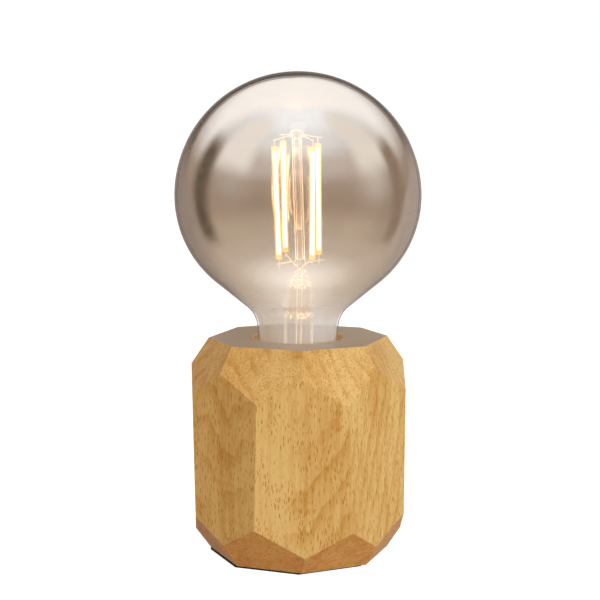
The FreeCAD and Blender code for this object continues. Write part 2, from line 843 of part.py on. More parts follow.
def stem_shell():
    foot = throat_radius - glass_wall - stem_room
    foot_z = glass_z + stem_foot_height
    flare_z = glass_z + stem_flare_height
    base = stem_base_radius
    tube = stem_tube_radius
    upper_step_z = stem_step_z + stem_step_height
    w = stem_wall
    return turned([
        (foot, glass_z), (foot, foot_z, stem_foot_round), (base, flare_z, stem_flare_round),
        (base, stem_step_z, stem_step_round), (tube, upper_step_z, stem_step_round),
        (tube, stem_tube_z, stem_pinch_round), (stem_neck_radius, stem_neck_z, stem_pinch_round),
        (stem_neck_radius, stem_top_z, stem_foot_round), (0, stem_top_z),
        (0, stem_tube_z + stem_inner_rise),
        (tube - w, stem_tube_z - stem_inner_rise, stem_pinch_round),
        (tube - w, upper_step_z, stem_step_round), (base - w, stem_step_z, stem_step_round),
        (base - w, flare_z, stem_flare_round - w / 2), (foot - w, foot_z, stem_foot_round / 2),
        (foot - w, glass_z)])


def bulb_stem():
    stem = stem_shell()
    for side in (-1, 1):
        stem = stem.cut(pipe(lead_in_path(side), wire_radius + wire_room, wire_bend))
    return stem_leant(stem)


def post_foot():
    return stem_leant(Part.Vertex(V(0, 0, stem_top_z))).Point


def post_head():
    lean = math.radians(post_lean)
    return post_foot() + V(math.sin(lean), 0, math.cos(lean)) * (filament_length + post_over)


def exhaust_post():
    return rod(post_radius, post_foot() + V(0, 0, seat_gap), post_head())


def bead_middle():
    return post_head() + V(0, 0, bead_height / 2 + seat_gap)


def stem_bead():
    half = bead_height / 2
    bead = turned([(0, -half), (bead_foot, -half, bead_round), (bead_radius, 0, bead_side_round),
                   (bead_head, half, bead_round), (0, half)])
    bead.translate(bead_middle())
    for start, end in top_wire_paths():
        bead = bead.cut(rod(wire_radius + wire_room, start, end))
    return bead


def filament_ends(i):
    foot = filament_feet[i] + V(0, 0, stem_top_z)
    across = filament_leans[i]
    head = foot + V(across, 0, math.sqrt(filament_length ** 2 - across ** 2))
    return foot, head


def filament(i):
    foot, head = filament_ends(i)
    glow = rod(filament_radius, foot, head)
    return glow.makeFillet(filament_round, [e for e in glow.Edges if e.Closed])


def clip_ends(i):
    foot, head = filament_ends(i)
    along = (head - foot).normalize()
    return foot - along * clip_foot_lengths[i], head + along * clip_head_length


def filament_clips():
    clips = []
    for i in range(4):
        foot, head = filament_ends(i)
        low, high = clip_ends(i)
        clips.append(rod(clip_radius, low, foot))
        clips.append(rod(clip_radius, head, high))
    return Part.Compound(clips)


def top_wire_paths():
    """From inside the bead out over each filament's head, just beside its clip."""
    paths = []
    for i in range(4):
        side = math.copysign(wire_start.x, filament_feet[i].x)
        back = math.copysign(wire_start.y, filament_feet[i].y)
        spot = clip_ends(i)[1] + V(0, 0, wire_radius + seat_gap)
        start = bead_middle() + V(side, back, 0)
        run_on = wire_past if back > 0 else wire_radius
        paths.append([start, spot + (spot - start).normalize() * run_on])
    return paths


def top_support_wires():
    return Part.Compound([rod(wire_radius, start, end) for start, end in top_wire_paths()])


def lead_in_wires():
    """Each wire leaves the pinch and forks to the feet of its two filaments."""
    wires = []
    for side, pair in ((-1, (0, 1)), (1, (2, 3))):
        path = lead_in_path(side)
        stalk = stem_leant(pipe(path, wire_radius, wire_bend))
        tip = stem_leant(Part.Vertex(path[-1])).Point
        wire = stalk.fuse(Part.makeSphere(weld_radius, tip))
        for i in pair:
            low = clip_ends(i)[0]
            high = filament_ends(i)[0]
            spot = low + (high - low) * weld_share
            beside = (spot - tip).cross(high - low).normalize()
            spot = spot + beside * (clip_radius + wire_radius + seat_gap)
            far = spot + (spot - tip).normalize() * lead_in_past[i]
            wire = wire.fuse(rod(wire_radius, tip, far))
        wires.append(wire.removeSplitter())
    return Part.Compound(wires)


def bulb_cap():
    inner = thread_root - cap_wall
    rim_inner = cap_rim_radius - cap_wall
    flare_z = rim_low + cap_flare
    foot_z = thread_z - cap_foot_height
    cap = turned([
        (cap_foot_radius, foot_z), (thread_root, thread_z, cap_round),
        (thread_root, rim_low, cap_rim_round), (cap_rim_radius, flare_z, cap_rim_round),
        (cap_rim_radius, rim_z), (rim_inner, rim_z), (rim_inner, flare_z, cap_inner_round),
        (inner, rim_low, cap_round), (inner, thread_z, cap_inner_round),
        (cap_foot_radius - cap_wall, foot_z)])
    return cap.fuse(thread_ridge(thread_root, 1, ridge_start, ridge_turns)).removeSplitter()


def cap_insulator():
    inner = thread_root - cap_wall - seat_gap
    foot = cap_foot_radius - cap_wall - seat_gap
    foot_z = thread_z - cap_foot_height
    top = thread_z + insulator_in_cap
    return turned([
        (insulator_bore, insulator_z),
        (contact_radius + insulator_step, insulator_z, insulator_foot_round),
        (foot, foot_z, insulator_round), (inner, thread_z, insulator_round),
        (inner, top), (insulator_bore, top)])


def cap_contact():
    return turned([
        (0, tip_z), (contact_crown, tip_z, contact_crown_round),
        (contact_radius, insulator_z - contact_rim, contact_rim / 2),
        (contact_radius, insulator_z), (0, insulator_z)])


def driver_board():
    board = bar(board_width, board_thickness, board_z, board_z + board_height)
    thin = [e for e in board.Edges if abs(e.BoundBox.YLength - board_thickness) < 1e-6]
    return board.makeChamfer(board_chamfer, thin)


def driver_parts():
    low = board_z + part_lift
    face = board_thickness / 2 + slide_gap
    capacitor = post(capacitor_radius, low, low + capacitor_height,
                     capacitor_place, face + capacitor_radius)
    low = board_z + choke_lift
    choke = post(choke_radius, low, low + choke_height, choke_place, -face - choke_radius)
    low = board_z + bridge_lift
    bridge = bar(bridge_size.x, bridge_size.y, low, low + bridge_size.z,
                 bridge_place, -face - bridge_size.y / 2)
    return Part.Compound([
        capacitor.makeFillet(capacitor_round, [e for e in capacitor.Edges if e.Closed]),
        choke.makeFillet(choke_round, [e for e in choke.Edges if e.Closed]), bridge])


def driver_leads():
    """One wire to the centre contact, one to the cap's wall."""
    centre = rod(driver_wire, V(0, 0, insulator_z), V(0, 0, board_z))
    inner = thread_root - cap_wall
    wire_z = board_z + driver_wire_height
    wall = rod(driver_wire, V(board_width / 2, 0, wire_z), V(inner, 0, wire_z))
    inside = post(inner - solder_gap, board_z, board_z + board_height)
    return Part.Compound([centre, wall.common(inside)])


pieces = {
    "wooden_block": wooden_block, "foot_pad": foot_pad, "base_plate": base_plate,
    "base_plate_screws": base_plate_screws, "cord_bush": cord_bush,
    "threaded_tube": threaded_tube, "tube_washer": tube_washer, "tube_nut": tube_nut,
    "holder_cap": holder_cap, "holder_skirt": holder_skirt, "contact_carrier": contact_carrier,
    "shell_strap": shell_strap, "centre_strap": centre_strap, "terminal_screws": terminal_screws,
    "screw_shell": screw_shell, "contact_plunger": contact_plunger,
    "contact_spring": contact_spring, "terminal_block": terminal_block,
    "terminal_inserts": terminal_inserts, "clamp_screws": clamp_screws, "block_screw": block_screw,
    "live_lead": lambda: lead(0, -1), "neutral_lead": lambda: lead(1, 1), "bulb_globe": bulb_globe,
    "bulb_stem": bulb_stem, "exhaust_post": exhaust_post, "stem_bead": stem_bead,
    "filament_clips": filament_clips, "top_support_wires": top_support_wires,
    "lead_in_wires": lead_in_wires, "bulb_cap": bulb_cap, "cap_insulator": cap_insulator,
    "cap_contact": cap_contact, "driver_board": driver_board, "driver_parts": driver_parts,
    "driver_leads": driver_leads}
for number in range(4):
    pieces["led_filament_%d" % (number + 1)] = lambda n=number: filament(n)

os.makedirs("parts", exist_ok=True)
for name, make in pieces.items():
    shape = make()
    if not shape.isValid():
        print(name, "is not valid")
    for solid in shape.Solids:
        if solid.Volume <= 0 or not solid.isClosed():
            print(name, "has an open or inverted solid")
    print("%-20s solids %2d  volume %9.1f" % (name, len(shape.Solids), shape.Volume))
    shape.exportStep("parts/%s.step" % name)
print("block %.2f high, well %.2f deep, radius %.2f" % (top_z - wood_z, top_z - well_z, well_radius))
print("bulb %.2f long, lamp %.2f high" % (globe_z + globe_radius - tip_z, globe_z + globe_radius))
print("ridge radius %.4f, bulb rises %.5f mm per degree" % (ridge_radius, thread_pitch / 360))
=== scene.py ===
import json
import math

import bmesh
import bpy
from mathutils import Matrix, Vector, noise


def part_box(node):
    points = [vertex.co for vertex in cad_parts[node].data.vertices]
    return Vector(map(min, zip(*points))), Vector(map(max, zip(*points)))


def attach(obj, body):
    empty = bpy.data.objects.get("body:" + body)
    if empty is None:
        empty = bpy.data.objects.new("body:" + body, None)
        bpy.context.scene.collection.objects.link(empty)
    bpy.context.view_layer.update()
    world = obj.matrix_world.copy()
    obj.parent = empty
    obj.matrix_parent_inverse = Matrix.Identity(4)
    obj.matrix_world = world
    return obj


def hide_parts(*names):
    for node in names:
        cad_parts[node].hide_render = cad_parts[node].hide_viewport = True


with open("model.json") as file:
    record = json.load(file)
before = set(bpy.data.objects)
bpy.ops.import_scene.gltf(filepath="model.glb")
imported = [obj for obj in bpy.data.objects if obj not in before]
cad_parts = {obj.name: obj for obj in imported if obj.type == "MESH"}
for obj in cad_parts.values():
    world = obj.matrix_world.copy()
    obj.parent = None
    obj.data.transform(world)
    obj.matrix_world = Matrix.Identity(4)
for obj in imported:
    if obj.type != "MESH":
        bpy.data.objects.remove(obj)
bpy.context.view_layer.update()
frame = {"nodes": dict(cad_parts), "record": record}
print("frame loaded:", len(frame["nodes"]), "nodes")

mm = 0.001


# Small helpers for node trees

def addNode(tree, kind, inputs=None, **settings):
    made = tree.nodes.new("ShaderNode" + kind)
    for name, value in settings.items():
        setattr(made, name, value)
    for socket, value in (inputs or {}).items():
        if isinstance(value, bpy.types.NodeSocket):
            tree.links.new(value, made.inputs[socket])
        else:
            made.inputs[socket].default_value = value
    return made


def maths(tree, operation, a, b=0.0, c=0.0):
    return addNode(tree, "Math", {0: a, 1: b, 2: c}, operation=operation).outputs[0]


def softStep(tree, value, low, high, start=0.0, end=1.0):
    node = addNode(tree, "MapRange", {"Value": value, "From Min": low, "From Max": high,
                                      "To Min": start, "To Max": end}, interpolation_type="SMOOTHSTEP")
    return node.outputs["Result"]


def mixColour(tree, share, first, second, blend="MIX"):
    node = addNode(tree, "Mix", {0: share, 6: first, 7: second}, data_type="RGBA", blend_type=blend)
    return node.outputs[2]


def colourRamp(tree, value, stops, interpolation="LINEAR"):
    node = addNode(tree, "ValToRGB", {"Fac": value})
    ramp = node.color_ramp
    ramp.interpolation = interpolation
    while len(ramp.elements) < len(stops):
        ramp.elements.new(0.5)
    for element, (place, colour) in zip(ramp.elements, stops):
        element.position = place
        element.color = (*colour, 1)
    return node.outputs["Color"]


def millimetres(tree, scale=(1, 1, 1), move=(0, 0, 0), turn=(0, 0, 0)):
    # Object coordinates in millimetres, then turned, moved and stretched
    place = addNode(tree, "TexCoord").outputs["Object"]
    big = addNode(tree, "Mapping", {"Vector": place, "Scale": (1000, 1000, 1000)}).outputs[0]
    node = addNode(tree, "Mapping", {"Vector": big, "Location": move, "Scale": scale,
                                     "Rotation": [math.radians(t) for t in turn]})
    return node.outputs[0]


def noiseValue(tree, vector, scale, detail=2.0, roughness=0.5):
    node = addNode(tree, "TexNoise", {"Vector": vector, "Scale": scale, "Detail": detail,
                                      "Roughness": roughness})
    return node.outputs["Fac"]


def bumped(tree, height, strength, distance):
    return addNode(tree, "Bump", {"Height": height, "Strength": strength, "Distance": distance}).outputs[0]


def newMaterial(name):
    material = bpy.data.materials.new(name)
    material.use_nodes = True
    tree = material.node_tree
    tree.nodes.clear()
    return material, tree


def finishMaterial(tree, shader):
    output = addNode(tree, "OutputMaterial")
    tree.links.new(shader, output.inputs["Surface"])


# Camera, at the photograph's place

camera = {
    "lens": 93.84,
    "sensor": 36,
    "distance": 0.8,
    "elevation": 7.77,
    "heading": -91.85,      # degrees round from +X
    "aimHeight": 0.1311,
    "aside": 0.00103,       # to the camera's right
}


def placeCamera():
    e = math.radians(camera["elevation"])
    h = math.radians(camera["heading"])
    back = Vector((math.cos(e) * math.cos(h), math.cos(e) * math.sin(h), math.sin(e)))
    right = Vector((-math.sin(h), math.cos(h), 0))
    aim = Vector((0, 0, camera["aimHeight"])) + right * camera["aside"]
    data = bpy.data.cameras.new("camera")
    data.lens = camera["lens"]
    data.sensor_width = camera["sensor"]
    shot = bpy.data.objects.new("camera", data)
    bpy.context.scene.collection.objects.link(shot)
    shot.location = aim + back * camera["distance"]
    shot.rotation_mode = "QUATERNION"
    shot.rotation_quaternion = (-back).to_track_quat("-Z", "Y")
    bpy.context.scene.camera = shot


# Studio: three soft lamps, a pale room and a white floor

studio = {
    "key": {"place": (0.95, -1.35, 0.42), "size": 0.9, "watts": 14.6, "colour": (0.96, 1.0, 1.06)},
    "fill": {"place": (-1.3, -0.7, 0.5), "size": 0.9, "watts": 2.5, "colour": (1.0, 0.66, 0.30)},
    "top": {"place": (0.1, 0.15, 1.3), "size": 1.0, "watts": 1.3, "colour": (1.0, 0.99, 0.97)},
    "room": (0.48, 0.42, 0.34),         # even light from all round
    "lampAim": 0.1,                     # metres, the height that the lamps point at
    "floorReach": 6,                    # metres each way
    "floorBounce": 0.42,
    "floorGlow": 0.95,
}

# The room that mirrors alone see. Degrees run round from the camera's side and up from the horizon

mirrored = {
    "strength": 1.7,
    "levels": [                         # from straight down to straight up
        (0.00, (0.88, 0.82, 0.75)), (0.25, (0.36, 0.30, 0.245)), (0.34, (0.31, 0.25, 0.19)),
        (0.48, (0.22, 0.16, 0.12)), (0.55, (0.25, 0.19, 0.155)), (0.66, (0.42, 0.37, 0.34)),
        (0.80, (0.66, 0.68, 0.70)), (0.92, (0.84, 0.89, 0.94))],
    "softBox": (0.95, 0.94, 0.92, 1),   # overhead, towards the far end
    "patches": [                        # middle, half width, low and high edge, softness; colour
        ((-68, 14, 5, 38, 16), (0.34, 0.30, 0.27, 1)),
        ((76, 14, 0, 45, 16), (0.46, 0.41, 0.36, 1)),
        ((-74, 22, 22, 70, 9), (0.76, 0.73, 0.69, 1)),
        ((82, 20, 20, 70, 9), (0.72, 0.68, 0.63, 1)),
        ((-106, 11, -30, 34, 8), (0.0, 0.0, 0.0, 1)),
        ((107, 9, -30, 30, 6), (0.16, 0.11, 0.08, 1)),
    ],
    "farTop": 32.0,                     # height of the dark far end at its middle
    "farFall": 0.54,                    # how fast its edge falls to the sides
    "farLeft": (0.20, 0.165, 0.15, 1),
    "farRight": (0.33, 0.28, 0.245, 1),
    "farMiddle": (0.05, 0.045, 0.04, 1),
    "hiddenBelow": 0.1,                 # metres; nodes wholly lower don't show in mirrors
}


def addLamp(name, lamp):
    data = bpy.data.lights.new(name, "AREA")
    data.shape = "SQUARE"
    data.size = lamp["size"]
    data.energy = lamp["watts"]
    data.color = lamp["colour"]
    shining = bpy.data.objects.new(name, data)
    bpy.context.scene.collection.objects.link(shining)
    shining.location = lamp["place"]
    towards = Vector((0, 0, studio["lampAim"])) - Vector(lamp["place"])
    shining.rotation_mode = "QUATERNION"
    shining.rotation_quaternion = towards.to_track_quat("-Z", "Y")
    shining.visible_glossy = False


def mirrorRoom(tree):
    # What glass and metal reflect: a soft box overhead, two at the sides, dark flags and the far end
    direction = addNode(tree, "TexCoord").outputs["Generated"]
    split = addNode(tree, "SeparateXYZ", {0: direction})
    x, y, z = split.outputs
    toDegrees = 180 / math.pi
    around = maths(tree, "MULTIPLY", maths(tree, "ARCTAN2", x, maths(tree, "MULTIPLY", y, -1)), toDegrees)
    height = maths(tree, "MULTIPLY", maths(tree, "ARCSINE", z), toDegrees)
    away = maths(tree, "ABSOLUTE", around)
    level = maths(tree, "MULTIPLY_ADD", height, 1 / 180, 0.5)
    colour = colourRamp(tree, level, mirrored["levels"], "EASE")

    def patch(middle, halfWidth, low, high, soft):
        aside = maths(tree, "ABSOLUTE", maths(tree, "SUBTRACT", around, middle))
        across = softStep(tree, aside, halfWidth + soft, halfWidth - soft)
        above = softStep(tree, height, low - soft, low + soft)
        below = softStep(tree, height, high + soft, high - soft)
        return maths(tree, "MULTIPLY", maths(tree, "MULTIPLY", across, above), below)

    behind = softStep(tree, away, 95, 130)
    colour = mixColour(tree, maths(tree, "MULTIPLY", behind, softStep(tree, height, 10, 40)),
                       colour, mirrored["softBox"])
    for place, tone in mirrored["patches"]:
        colour = mixColour(tree, patch(*place), colour, tone)
    edge = maths(tree, "MULTIPLY_ADD", maths(tree, "SUBTRACT", 180, away), -mirrored["farFall"],
                 mirrored["farTop"])
    atFarEnd = softStep(tree, maths(tree, "SUBTRACT", edge, height), -2.0, 2.0)
    atFarEnd = maths(tree, "MULTIPLY", atFarEnd, softStep(tree, away, 109, 122))
    atFarEnd = maths(tree, "MULTIPLY", atFarEnd, softStep(tree, height, -55, -15))
    rightSide = softStep(tree, around, -20, 20)
    farColour = mixColour(tree, rightSide, mirrored["farLeft"], mirrored["farRight"])
    overhead = maths(tree, "MULTIPLY", softStep(tree, away, 130, 155), softStep(tree, height, 2, 14))
    farColour = mixColour(tree, overhead, farColour, mirrored["farMiddle"])
    return mixColour(tree, atFarEnd, colour, farColour)


def lightStudio():
    scene = bpy.context.scene
    for name in ("key", "fill", "top"):
        addLamp(name, studio[name])
    world = bpy.data.worlds.new("studio")
    world.use_nodes = True
    tree = world.node_tree
    tree.nodes.clear()
    rays = addNode(tree, "LightPath")
    room = addNode(tree, "Background", {"Color": (*studio["room"], 1), "Strength": 1.0})
    mirror = addNode(tree, "Background", {"Color": mirrorRoom(tree), "Strength": mirrored["strength"]})
    white = addNode(tree, "Background", {"Color": (1, 1, 1, 1), "Strength": 1.0})
    seen = maths(tree, "MAXIMUM", rays.outputs["Is Camera Ray"], rays.outputs["Is Transmission Ray"])
    lit = addNode(tree, "MixShader", {0: rays.outputs["Is Glossy Ray"], 1: room.outputs[0],
                                      2: mirror.outputs[0]})
    shown = addNode(tree, "MixShader", {0: seen, 1: lit.outputs[0], 2: white.outputs[0]})
    output = addNode(tree, "OutputWorld")
    tree.links.new(shown.outputs[0], output.inputs["Surface"])
    scene.world = world
    scene.view_settings.view_transform = "Standard"
    scene.cycles.transparent_max_bounces = 32
    scene.cycles.max_bounces = 16
    scene.cycles.glossy_bounces = 8


def layFloor():
    material, tree = newMaterial("whiteFloor")
    rays = addNode(tree, "LightPath")
    seen = maths(tree, "MAXIMUM", rays.outputs["Is Camera Ray"], rays.outputs["Is Transmission Ray"])
    bounce = studio["floorBounce"]
    matt = addNode(tree, "BsdfDiffuse", {"Color": (bounce, bounce, bounce, 1)})
    glow = addNode(tree, "Emission", {"Color": (1, 1, 1, 1), "Strength": studio["floorGlow"]})
    both = addNode(tree, "AddShader", {0: matt.outputs[0], 1: glow.outputs[0]})
    shown = addNode(tree, "MixShader", {0: seen, 1: matt.outputs[0], 2: both.outputs[0]})
    finishMaterial(tree, shown.outputs[0])
    mesh = bpy.data.meshes.new("floor")
    shape = bmesh.new()
    bmesh.ops.create_grid(shape, x_segments=1, y_segments=1, size=studio["floorReach"])
    shape.to_mesh(mesh)
    shape.free()
    mesh.materials.append(material)
    floor = bpy.data.objects.new("floor", mesh)
    bpy.context.scene.collection.objects.link(floor)
    floor.visible_glossy = False


placeCamera()
lightStudio()
layFloor()
print("camera, lamps and floor placed")


# Making pieces

def addPiece(name, shape, body, replaced, materials, smooth=True):
    mesh = bpy.data.meshes.new(name)
    shape.to_mesh(mesh)
    shape.free()
    for material in materials:
        mesh.materials.append(material)
    if smooth:
        mesh.shade_smooth()
    piece = bpy.data.objects.new(name, mesh)
    bpy.context.scene.collection.objects.link(piece)
    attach(piece, body)
    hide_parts(replaced)
    return piece


def spun(outline, steps):
    # Closed skin of revolution about Z from (radius, height) points in metres
    shape = bmesh.new()
    spots = [shape.verts.new((r, 0, z)) for r, z in outline]
    edges = [shape.edges.new(pair) for pair in zip(spots, spots[1:])]
    bmesh.ops.spin(shape, geom=spots + edges, cent=(0, 0, 0), axis=(0, 0, 1), dvec=(0, 0, 0),
                   angle=2 * math.pi, steps=steps, use_merge=True)
    bmesh.ops.remove_doubles(shape, verts=shape.verts, dist=0.002 * mm)
    bmesh.ops.recalc_face_normals(shape, faces=shape.faces)
    return shape


def arcPoints(centre, radius, start, end, steps):
    # From start to end degrees, 0 pointing outwards and 90 up
    points = []
    for i in range(steps + 1):
        a = math.radians(start + (end - start) * i / steps)
        points.append((centre[0] + radius * math.cos(a), centre[1] + radius * math.sin(a)))
    return points


def rodEnds(node):
    # Middles of a leaning rod's two ends, lower first
    spots = [v.co for v in frame["nodes"][node].data.vertices]
    low = min(s.z for s in spots)
    high = max(s.z for s in spots)
    lower = [s for s in spots if s.z < low + 0.6 * mm]
    upper = [s for s in spots if s.z > high - 0.6 * mm]
    ends = []
    for group, z in ((lower, low), (upper, high)):
        xs = [s.x for s in group]
        ys = [s.y for s in group]
        ends.append(Vector(((min(xs) + max(xs)) / 2, (min(ys) + max(ys)) / 2, z)))
    return ends


# Wood

wood = {
    "pale": (0.89, 0.59, 0.22, 1),
    "brown": (0.61, 0.275, 0.036, 1),
    "pore": (0.52, 0.18, 0.012, 1),
    "paintedTopGrey": (0.52, 0.50, 0.49, 1),  # painted grey reflection and shade on the flat end-grain top
    "topShare": 0.75,
    "paintedUnderShade": (0.88, 0.58, 0.22, 1),  # painted shade darkening the downward facets
    "ringWidth": 5.5,                   # mm between growth rings
    "treeMiddle": (95, 110),            # mm from the block's axis to the tree's
    "treeLean": (10, -9, 0),            # degrees
    "wander": 26,                       # mm that the rings stray, slowly
    "ripple": 5,                        # mm, in smaller waves
    "ringShare": 0.42,                  # of each layer in the brown
    "cloudShare": 0.34,
    "fibreShare": 0.95,
    "streakShare": 1.1,
    "poreCell": (0.62, 0.62, 3.6),      # mm
    "poreShare": 0.75,
    "flatAngle": 0.6,                   # degrees; faces that differ less become one facet
    "edgeAngle": 12,                    # degrees; edges that turn less stay sharp
    "edgeRound": 0.45,                  # mm
    "wellReach": 33,                    # mm from the axis; edges nearer to it stay sharp
}


def woodFinish():
    material, tree = newMaterial("oiledWood")
    slow = millimetres(tree, scale=(1, 1, 0.3))
    wander = noiseValue(tree, slow, 0.022, 3.0)
    wander = maths(tree, "MULTIPLY_ADD", wander, wood["wander"], -wood["wander"] / 2)
    ripple = noiseValue(tree, millimetres(tree, scale=(1, 1, 0.45)), 0.11, 3.0)
    ripple = maths(tree, "MULTIPLY_ADD", ripple, wood["ripple"], -wood["ripple"] / 2)
    leant = millimetres(tree, turn=wood["treeLean"],
                        move=(-wood["treeMiddle"][0], -wood["treeMiddle"][1], 0))
    level = addNode(tree, "VectorMath", {0: leant, 1: (1, 1, 0)}, operation="MULTIPLY").outputs[0]
    reach = addNode(tree, "VectorMath", {0: level}, operation="LENGTH").outputs["Value"]
    reach = maths(tree, "ADD", maths(tree, "ADD", reach, wander), ripple)
    phase = maths(tree, "FRACT", maths(tree, "DIVIDE", reach, wood["ringWidth"]))
    ring = colourRamp(tree, phase, [(0.0, (0.25,) * 3), (0.12, (0.02,) * 3), (0.5, (0.10,) * 3),
                                    (0.86, (0.75,) * 3), (0.96, (1.0,) * 3)], "EASE")
    strongRing = softStep(tree, noiseValue(tree, slow, 0.035, 2.0), 0.38, 0.62, 0.15, 1.0)
    ring = maths(tree, "MULTIPLY", ring, strongRing)
    cloud = softStep(tree, noiseValue(tree, slow, 0.045, 3.0), 0.40, 0.66)
    fibre = noiseValue(tree, millimetres(tree, scale=(1.5, 1.5, 0.05)), 1.0, 4.0, 0.6)
    streak = noiseValue(tree, millimetres(tree, scale=(0.35, 0.35, 0.018)), 1.0, 3.0, 0.55)
    tone = maths(tree, "MULTIPLY", ring, wood["ringShare"])
    tone = maths(tree, "MULTIPLY_ADD", cloud, wood["cloudShare"], tone)
    tone = maths(tree, "MULTIPLY_ADD", maths(tree, "SUBTRACT", fibre, 0.5), wood["fibreShare"], tone)
    tone = maths(tree, "MULTIPLY_ADD", maths(tree, "SUBTRACT", streak, 0.5), wood["streakShare"], tone)
    tone = addNode(tree, "Clamp", {0: tone}).outputs[0]
    colour = mixColour(tree, tone, wood["pale"], wood["brown"])

    cell = [1 / c for c in wood["poreCell"]]
    bent = millimetres(tree, scale=cell)
    pores = addNode(tree, "TexVoronoi", {"Vector": bent, "Scale": 1.0, "Randomness": 1.0})
    chance = addNode(tree, "SeparateColor", {0: pores.outputs["Color"]})
    width = softStep(tree, chance.outputs[0], 0.0, 1.0, 0.18, 0.44)
    pore = softStep(tree, maths(tree, "SUBTRACT", pores.outputs["Distance"], width), 0.07, -0.05)
    pore = maths(tree, "MULTIPLY", pore, softStep(tree, chance.outputs[1], 0.15, 0.75, 0.15, 1.0))
    colour = mixColour(tree, maths(tree, "MULTIPLY", pore, wood["poreShare"]), colour, wood["pore"])
    facesUp = addNode(tree, "Attribute", attribute_name="facesUp").outputs["Fac"]
    # Painted shade: the downward facets are darkened, broken up by noise
    paintedShadeBreakup = noiseValue(tree, millimetres(tree, scale=(0.14, 0.14, 0.9)), 1.0, 3.0)
    paintedUnderShadeMask = maths(tree, "MULTIPLY", softStep(tree, facesUp, 0.44, 0.30),
                  softStep(tree, paintedShadeBreakup, 0.36, 0.62, 0.68, 1.0))
    colour = mixColour(tree, paintedUnderShadeMask, colour, wood["paintedUnderShade"], "MULTIPLY")
    # Painted reflection and shade: the flat end-grain top is greyed as if it mirrored grey surroundings
    flatTop = softStep(tree, facesUp, 0.95, 0.992, 0.0, wood["topShare"])
    colour = mixColour(tree, flatTop, colour, wood["paintedTopGrey"])
    height = maths(tree, "MULTIPLY_ADD", fibre, 0.15, maths(tree, "MULTIPLY", pore, -1))
    rough = maths(tree, "MULTIPLY_ADD", pore, 0.25, maths(tree, "MULTIPLY_ADD", fibre, 0.15, 0.36))
    skin = addNode(tree, "BsdfPrincipled", {
        "Base Color": colour, "Roughness": rough, "Specular IOR Level": 0.3,
        "Coat Weight": 0.22, "Coat Roughness": 0.22, "Coat IOR": 1.45,
        "Normal": bumped(tree, height, 0.15, 0.12 * mm)})
    finishMaterial(tree, skin.outputs[0])
    return material


def makeWoodBlock():
    shape = bmesh.new()
    shape.from_mesh(frame["nodes"]["wooden_block"].data)
    bmesh.ops.remove_doubles(shape, verts=shape.verts, dist=0.001 * mm)
    bmesh.ops.dissolve_limit(shape, angle_limit=math.radians(wood["flatAngle"]), verts=shape.verts,
                             edges=shape.edges)
    outside = wood["wellReach"] * mm
    sharp = []
    for edge in shape.edges:
        if not edge.is_manifold or edge.calc_face_angle() < math.radians(wood["edgeAngle"]):
            continue
        if all(Vector(v.co.xy).length > outside for v in edge.verts):
            sharp.append(edge)
    made = bmesh.ops.bevel(shape, geom=sharp, offset=wood["edgeRound"] * mm, offset_type="OFFSET",
                           affect="EDGES", segments=3, profile=0.5, material=-1, clamp_overlap=True)
    for face in shape.faces:
        face.smooth = False
    for face in made["faces"]:
        face.smooth = True
    block = addPiece("woodBlock", shape, "lamp_base", "wooden_block", [woodFinish()], smooth=False)
    layer = block.data.attributes.new("facesUp", "FLOAT", "FACE")       # 0 down, 0.5 upright, 1 up
    layer.data.foreach_set("value", [(face.normal.z + 1) / 2 for face in block.data.polygons])
    block.visible_glossy = False


# Globe of the bulb: clear glass with a smoky mirror coat on its inside; in mm and degrees

globe = {
    "radius": 62.5,
    "lowerRadius": 56.1,
    "coneAngle": 50.7,
    "flareRadius": 15.5,
    "neckTaper": 4.0,
    "neckLength": 14.4,
    "neckRadius": 20.7,
    "shoulderRadius": 6.0,
    "shoulderAngle": 60.0,
    "throatRadius": 12.4,
    "wall": 1.0,
    "steps": 160,
    "mirror": 0.50,                         # share of the coat that reflects
    "clearMirror": 0.06,
    "mirrorTint": (0.97, 0.955, 0.94, 1),
    "smoke": (0.64, 0.56, 0.48, 1),
    "deepSmoke": (0.40, 0.34, 0.29, 1),
    "clear": (0.90, 0.875, 0.85, 1),
    "skin": (0.985, 0.98, 0.97, 1),
    "rim": (0.50, 0.45, 0.42, 1),           # of the wall seen edge on
    "rimBand": (0.76, 0.85),
    "haze": 0.50,                           # thin pale film inside the neck
    "hazeTop": 142.0,                       # mm
    "hazeFull": 118.0,
    "hazeColour": (0.80, 0.82, 0.86, 1),
    # painted light: the film's faint warm emission stands in for the filaments' light on it
    "hazePaintedGlow": (1.0, 0.94, 0.88, 1),
    "hazePaintedGlowLevel": 0.13,
    "coatLow": 112.0,                       # mm, where the coat starts
    "coatFull": 150.0,
}


